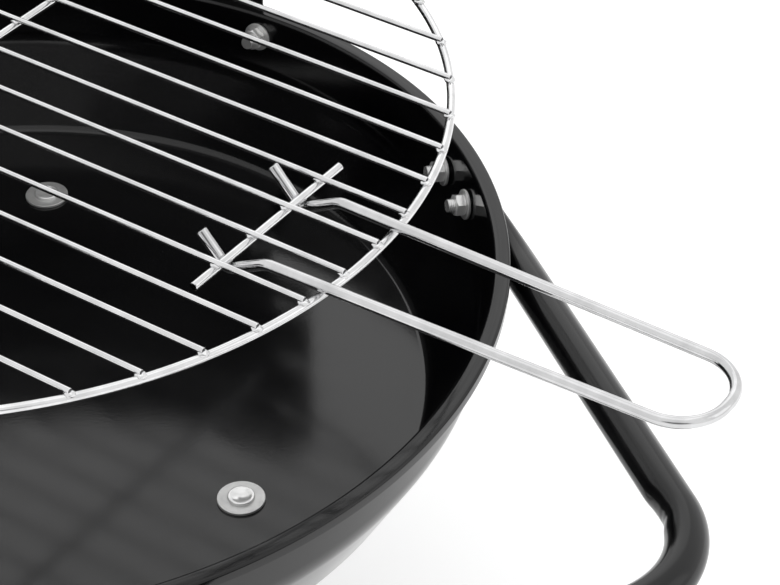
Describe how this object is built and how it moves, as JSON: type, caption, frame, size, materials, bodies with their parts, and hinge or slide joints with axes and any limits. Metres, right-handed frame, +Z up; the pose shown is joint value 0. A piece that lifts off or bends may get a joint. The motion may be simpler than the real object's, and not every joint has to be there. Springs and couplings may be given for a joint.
{
  "type": "charcoal grill",
  "caption": "Round charcoal grill: enamelled bowl on bent tube legs, V-shaped tube handle, half-round wind screen and a lift-out wire grate with hinged wire grip.",
  "frame": {"origin": "on the ground, under the middle of the whole length and width", "axes": "+X along the grate's bars towards the lifting grip, +Z up, +Y to the left seen from behind the screen"},
  "size_m": [0.525, 0.416, 0.37],
  "materials": {
    "bowl_enamel": "gloss black enamel",
    "tube_lacquer": "gloss black lacquer",
    "screen_enamel": "gloss black enamel",
    "chrome_wire": "bright plated wire",
    "zinc": "bright zinc plate",
    "cap_plastic": "matt black"
  },
  "bodies": {
    "grill": {"bowl": "bowl_enamel", "leg_front": "tube_lacquer", "leg_left": "tube_lacquer", "leg_right": "tube_lacquer", "handle_tube": "tube_lacquer", "windscreen": "screen_enamel", "floor_bolts": "zinc", "floor_washers": "zinc", "leg_inserts": "zinc", "foot_caps": "cap_plastic", "handle_bolts": "zinc", "handle_washers": "zinc", "handle_nuts": "zinc", "screen_bolts": "zinc", "screen_spacers": "zinc", "screen_washers": "zinc", "screen_nuts": "zinc"},
    "grate": {"grate_ring": "chrome_wire", "grate_bars": "chrome_wire", "grate_crossbar": "chrome_wire", "grate_tongue": "chrome_wire", "grate_hook_rod": "chrome_wire"},
    "grip": {"grate_handle": "chrome_wire"}
  },
  "joints": [
    {"name": "grate_slide", "type": "slide", "parent": "grill", "child": "grate", "axis": [1, 0, 0], "range_m": [0, 0.05]},
    {"name": "grip_lift", "type": "hinge", "parent": "grate", "child": "grip", "pos_m": [0.08785, 0, 0.31], "axis": [0, -1, 0], "range_deg": [0, 70]}
  ]
}
